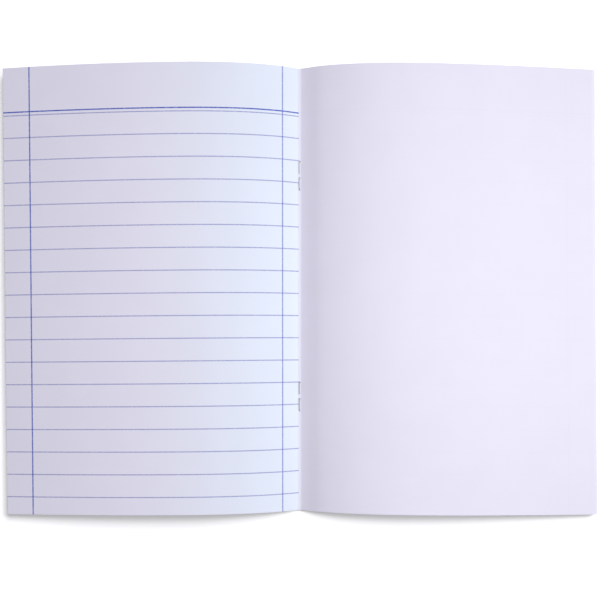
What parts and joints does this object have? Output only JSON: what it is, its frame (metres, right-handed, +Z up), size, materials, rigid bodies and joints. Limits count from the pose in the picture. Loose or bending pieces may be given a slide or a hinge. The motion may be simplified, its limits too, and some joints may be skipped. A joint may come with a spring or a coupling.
{
  "type": "open composition notebook",
  "caption": "Thin saddle-stitched exercise book lying open at its centre spread; ruled pages stitched through the fold with wire staples into a card cover.",
  "frame": {"origin": "on the table under the middle of the fold, which is the middle of the notebook's footprint", "axes": "+X across the spread towards the right page's fore-edge, +Y up the page towards its head, +Z up out of the pages"},
  "size_m": [0.2842, 0.21, 0.0123],
  "materials": {
    "page_paper": "smooth uncoated white writing paper, ruled in blue",
    "cover_card": "plain uncoated card, pale grey outside and white inside",
    "staple_wire": "drawn galvanised stitching wire"
  },
  "bodies": {
    "bound_notebook": {"pages": "page_paper", "back_cover": "cover_card", "head_staple": "staple_wire", "tail_staple": "staple_wire"},
    "front_cover_half": {"front_cover": "cover_card"}
  },
  "joints": [
    {"name": "front_cover_fold", "type": "hinge", "parent": "bound_notebook", "child": "front_cover_half", "pos_m": [0, 0, 0.0016], "axis": [0, 1, 0], "range_deg": [0, 180], "deforming": ["pages"]}
  ]
}
